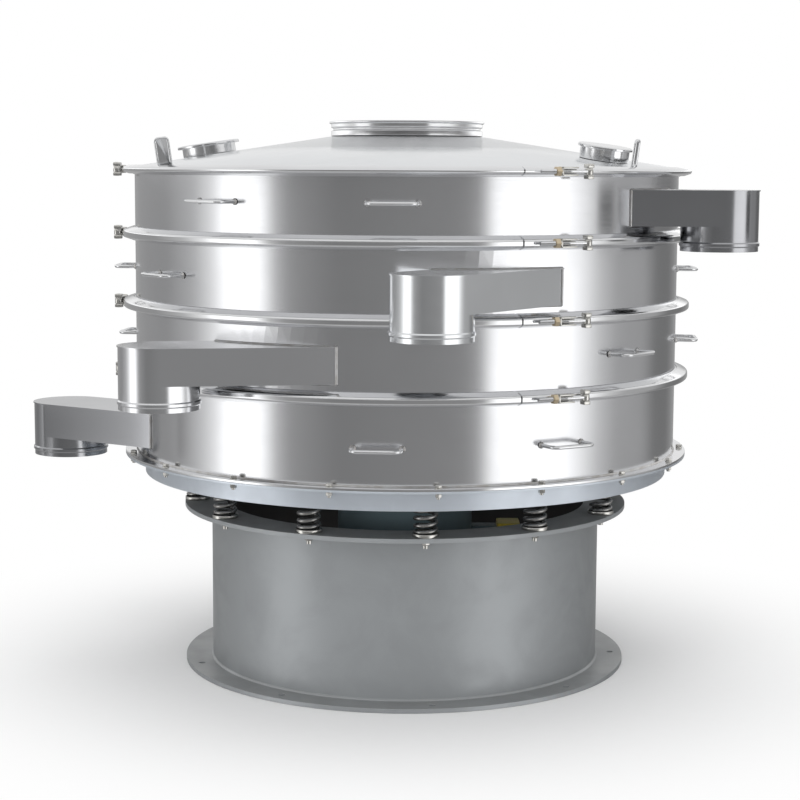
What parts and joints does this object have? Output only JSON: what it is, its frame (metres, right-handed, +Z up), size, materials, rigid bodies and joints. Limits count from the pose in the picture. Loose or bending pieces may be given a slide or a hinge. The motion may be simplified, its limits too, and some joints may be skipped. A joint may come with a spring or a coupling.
{
  "type": "round vibrating screen",
  "caption": "Round vibrating screen with stacked clamped decks, side outlets, a conical lid with a feed collar, and a sprung base with a motor below.",
  "frame": {"origin": "on the machine's upright axis, level with the underside of the base's lower flange", "axes": "+Z up the machine's axis, -Y to the front that the picture shows, +X to its right"},
  "size_m": [1.9539, 1.8315, 1.5058],
  "materials": {
    "stainless": "smooth rolled stainless sheet",
    "screen_mesh": "woven stainless wire cloth",
    "gasket": "pale rubber seal",
    "base_paint": "satin grey paint",
    "frame_paint": "satin blue-grey paint",
    "motor_paint": "satin dark blue-grey paint",
    "terminal_paint": "satin yellow paint",
    "spring_steel": "bright spring steel",
    "clamp_steel": "plated steel fasteners"
  },
  "bodies": {
    "base": {"base_shell": "base_paint", "base_bottom_flange": "base_paint", "base_top_flange": "base_paint", "springs": "spring_steel"},
    "screen_head": {"bottom_flange": "stainless", "bottom_pan": "stainless", "clamp_band_1": "stainless", "clamp_band_2": "stainless", "clamp_band_3": "stainless", "clamp_band_4": "stainless", "clamp_bolts_1": "clamp_steel", "clamp_bolts_2": "clamp_steel", "clamp_bolts_3": "clamp_steel", "clamp_bolts_4": "clamp_steel", "drive_motor": "motor_paint", "frame_1": "stainless", "frame_2": "stainless", "frame_3": "stainless", "frame_4": "stainless", "handles_1": "stainless", "handles_2": "stainless", "handles_3": "stainless", "handles_4": "stainless", "inlet_collar": "stainless", "inspection_port_left": "stainless", "inspection_port_right": "stainless", "lid_cone": "stainless", "lid_gasket": "gasket", "lifting_lug_left": "stainless", "lifting_lug_right": "stainless", "lower_weight_cover": "motor_paint", "motor_terminal_box": "terminal_paint", "motor_tube": "motor_paint", "outlet_1": "stainless", "outlet_2": "stainless", "outlet_3": "stainless", "outlet_4": "stainless", "ring_flanges_1": "stainless", "ring_flanges_2": "stainless", "ring_flanges_3": "stainless", "ring_flanges_4": "stainless", "screen_lower": "screen_mesh", "screen_middle": "screen_mesh", "screen_upper": "screen_mesh", "vibrating_frame": "frame_paint"}
  },
  "joints": [
    {"name": "screen_bounce", "type": "slide", "parent": "base", "child": "screen_head", "axis": [0, 0, 1], "range_m": [-0.005, 0.005], "stiffness_N_per_m": 600000, "springref_m": 0.01067, "deforming": ["springs"]}
  ]
}
